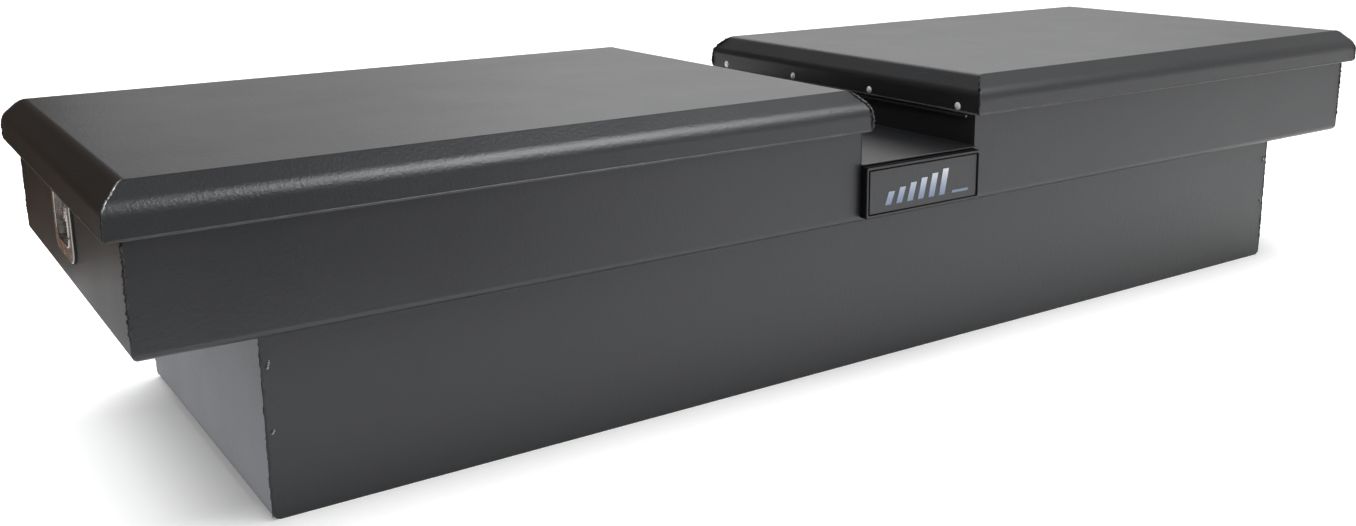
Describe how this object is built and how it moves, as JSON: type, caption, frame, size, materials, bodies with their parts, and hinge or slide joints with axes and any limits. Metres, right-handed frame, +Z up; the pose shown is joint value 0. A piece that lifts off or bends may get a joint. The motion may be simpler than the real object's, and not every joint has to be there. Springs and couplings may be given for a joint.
{
  "type": "truck tool box",
  "caption": "Crossover truck-bed tool box: wide upper body on a narrower tub, two gull-wing lids hinged at a centre recess, gas struts and paddle latches at the ends.",
  "frame": {"origin": "middle of the tub's underside, centred on the box in plan", "axes": "+X along the length of the box across the truck, -Y the front face with the nameplate, +Z up"},
  "size_m": [1.778, 0.548, 0.341],
  "materials": {
    "powder_coat": "textured matte charcoal-black powder coat",
    "stainless": "polished stainless",
    "hinge_black": "satin black",
    "hinge_steel": "bright steel pins and rivets",
    "zinc_steel": "zinc plated",
    "lock_chrome": "bright",
    "strut_black": "satin black",
    "strut_chrome": "polished rod",
    "seal_rubber": "matte",
    "nameplate_backing": "matte black",
    "nameplate_face": "satin plate with a plain raised border"
  },
  "bodies": {
    "box": {"centre_channel": "powder_coat", "front_ledge": "powder_coat", "front_panel": "powder_coat", "hinge_wall_rivets": "hinge_steel", "latch_nuts": "zinc_steel", "latch_pins": "zinc_steel", "left_end_wall": "powder_coat", "left_hinge_body_leaf": "hinge_black", "left_hinge_pin": "hinge_steel", "left_latch_case": "zinc_steel", "left_latch_gasket": "seal_rubber", "left_latch_pan": "stainless", "left_rim_frame": "powder_coat", "left_seal": "seal_rubber", "left_shelf": "powder_coat", "left_tub_end_wall": "powder_coat", "nameplate": "nameplate_face", "nameplate_backing": "nameplate_backing", "paddle_return_springs": "zinc_steel", "rear_ledge": "powder_coat", "rear_panel": "powder_coat", "right_end_wall": "powder_coat", "right_hinge_body_leaf": "hinge_black", "right_hinge_pin": "hinge_steel", "right_latch_case": "zinc_steel", "right_latch_gasket": "seal_rubber", "right_latch_pan": "stainless", "right_rim_frame": "powder_coat", "right_seal": "seal_rubber", "right_shelf": "powder_coat", "right_tub_end_wall": "powder_coat", "strut_body_brackets": "zinc_steel", "tub_floor": "powder_coat", "tub_front_wall": "powder_coat", "tub_rear_wall": "powder_coat"},
    "left_lid": {"left_lid": "powder_coat", "left_lid_stiffener": "powder_coat", "left_striker": "zinc_steel", "left_strut_lid_bracket": "zinc_steel", "left_hinge_lid_leaf": "hinge_black", "left_lid_rivets": "hinge_steel"},
    "left_gas_cylinder": {"left_strut_cylinder": "strut_black"},
    "left_gas_rod": {"left_strut_rod": "strut_chrome"},
    "left_pull_paddle": {"left_paddle": "stainless"},
    "left_key_plug": {"left_lock_plug": "lock_chrome"},
    "left_pawl": {"left_latch_pawl": "zinc_steel"},
    "right_lid": {"right_lid": "powder_coat", "right_lid_stiffener": "powder_coat", "right_striker": "zinc_steel", "right_strut_lid_bracket": "zinc_steel", "right_hinge_lid_leaf": "hinge_black", "right_lid_rivets": "hinge_steel"},
    "right_gas_cylinder": {"right_strut_cylinder": "strut_black"},
    "right_gas_rod": {"right_strut_rod": "strut_chrome"},
    "right_pull_paddle": {"right_paddle": "stainless"},
    "right_key_plug": {"right_lock_plug": "lock_chrome"},
    "right_pawl": {"right_latch_pawl": "zinc_steel"}
  },
  "joints": [
    {"name": "left_lid_hinge", "type": "hinge", "parent": "box", "child": "left_lid", "pos_m": [-0.0875, 0, 0.291], "axis": [0, 1, 0], "range_deg": [0, 70]},
    {"name": "left_strut_pivot", "type": "hinge", "parent": "box", "child": "left_gas_cylinder", "pos_m": [-0.125, 0.228, 0.214], "axis": [0, 1, 0], "range_deg": [0, 63.39]},
    {"name": "left_strut_extension", "type": "slide", "parent": "left_gas_cylinder", "child": "left_gas_rod", "axis": [-0.9444, 0, 0.3288], "range_m": [0, 0.08995]},
    {"name": "left_paddle_pull", "type": "hinge", "parent": "box", "child": "left_pull_paddle", "pos_m": [-0.865, 0, 0.276], "axis": [0, 1, 0], "range_deg": [0, 35], "stiffness_Nm_per_rad": 0.4, "springref_deg": -20.05},
    {"name": "left_pawl_rock", "type": "hinge", "parent": "box", "child": "left_pawl", "pos_m": [-0.835, 0, 0.282], "axis": [0, -1, 0], "range_deg": [0, 30.5]},
    {"name": "left_key_turn", "type": "hinge", "parent": "left_pull_paddle", "child": "left_key_plug", "pos_m": [-0.865, 0, 0.264], "axis": [-1, 0, 0], "range_deg": [0, 90]},
    {"name": "right_lid_hinge", "type": "hinge", "parent": "box", "child": "right_lid", "pos_m": [0.0875, 0, 0.291], "axis": [0, -1, 0], "range_deg": [0, 70]},
    {"name": "right_strut_pivot", "type": "hinge", "parent": "box", "child": "right_gas_cylinder", "pos_m": [0.125, 0.228, 0.214], "axis": [0, -1, 0], "range_deg": [0, 63.39]},
    {"name": "right_strut_extension", "type": "slide", "parent": "right_gas_cylinder", "child": "right_gas_rod", "axis": [0.9444, 0, 0.3288], "range_m": [0, 0.08995]},
    {"name": "right_paddle_pull", "type": "hinge", "parent": "box", "child": "right_pull_paddle", "pos_m": [0.865, 0, 0.276], "axis": [0, -1, 0], "range_deg": [0, 35], "stiffness_Nm_per_rad": 0.4, "springref_deg": -20.05},
    {"name": "right_pawl_rock", "type": "hinge", "parent": "box", "child": "right_pawl", "pos_m": [0.835, 0, 0.282], "axis": [0, 1, 0], "range_deg": [0, 30.5]},
    {"name": "right_key_turn", "type": "hinge", "parent": "right_pull_paddle", "child": "right_key_plug", "pos_m": [0.865, 0, 0.264], "axis": [1, 0, 0], "range_deg": [0, 90]}
  ],
  "couplings": [
    {"joint": "left_strut_pivot", "follows": "left_lid_hinge", "ratio": 0.8984},
    {"joint": "left_strut_extension", "follows": "left_lid_hinge", "m_per_rad": 0.073217},
    {"joint": "left_pawl_rock", "follows": "left_paddle_pull", "ratio": 0.85714},
    {"joint": "right_strut_pivot", "follows": "right_lid_hinge", "ratio": 0.8984},
    {"joint": "right_strut_extension", "follows": "right_lid_hinge", "m_per_rad": 0.073217},
    {"joint": "right_pawl_rock", "follows": "right_paddle_pull", "ratio": 0.85714}
  ]
}
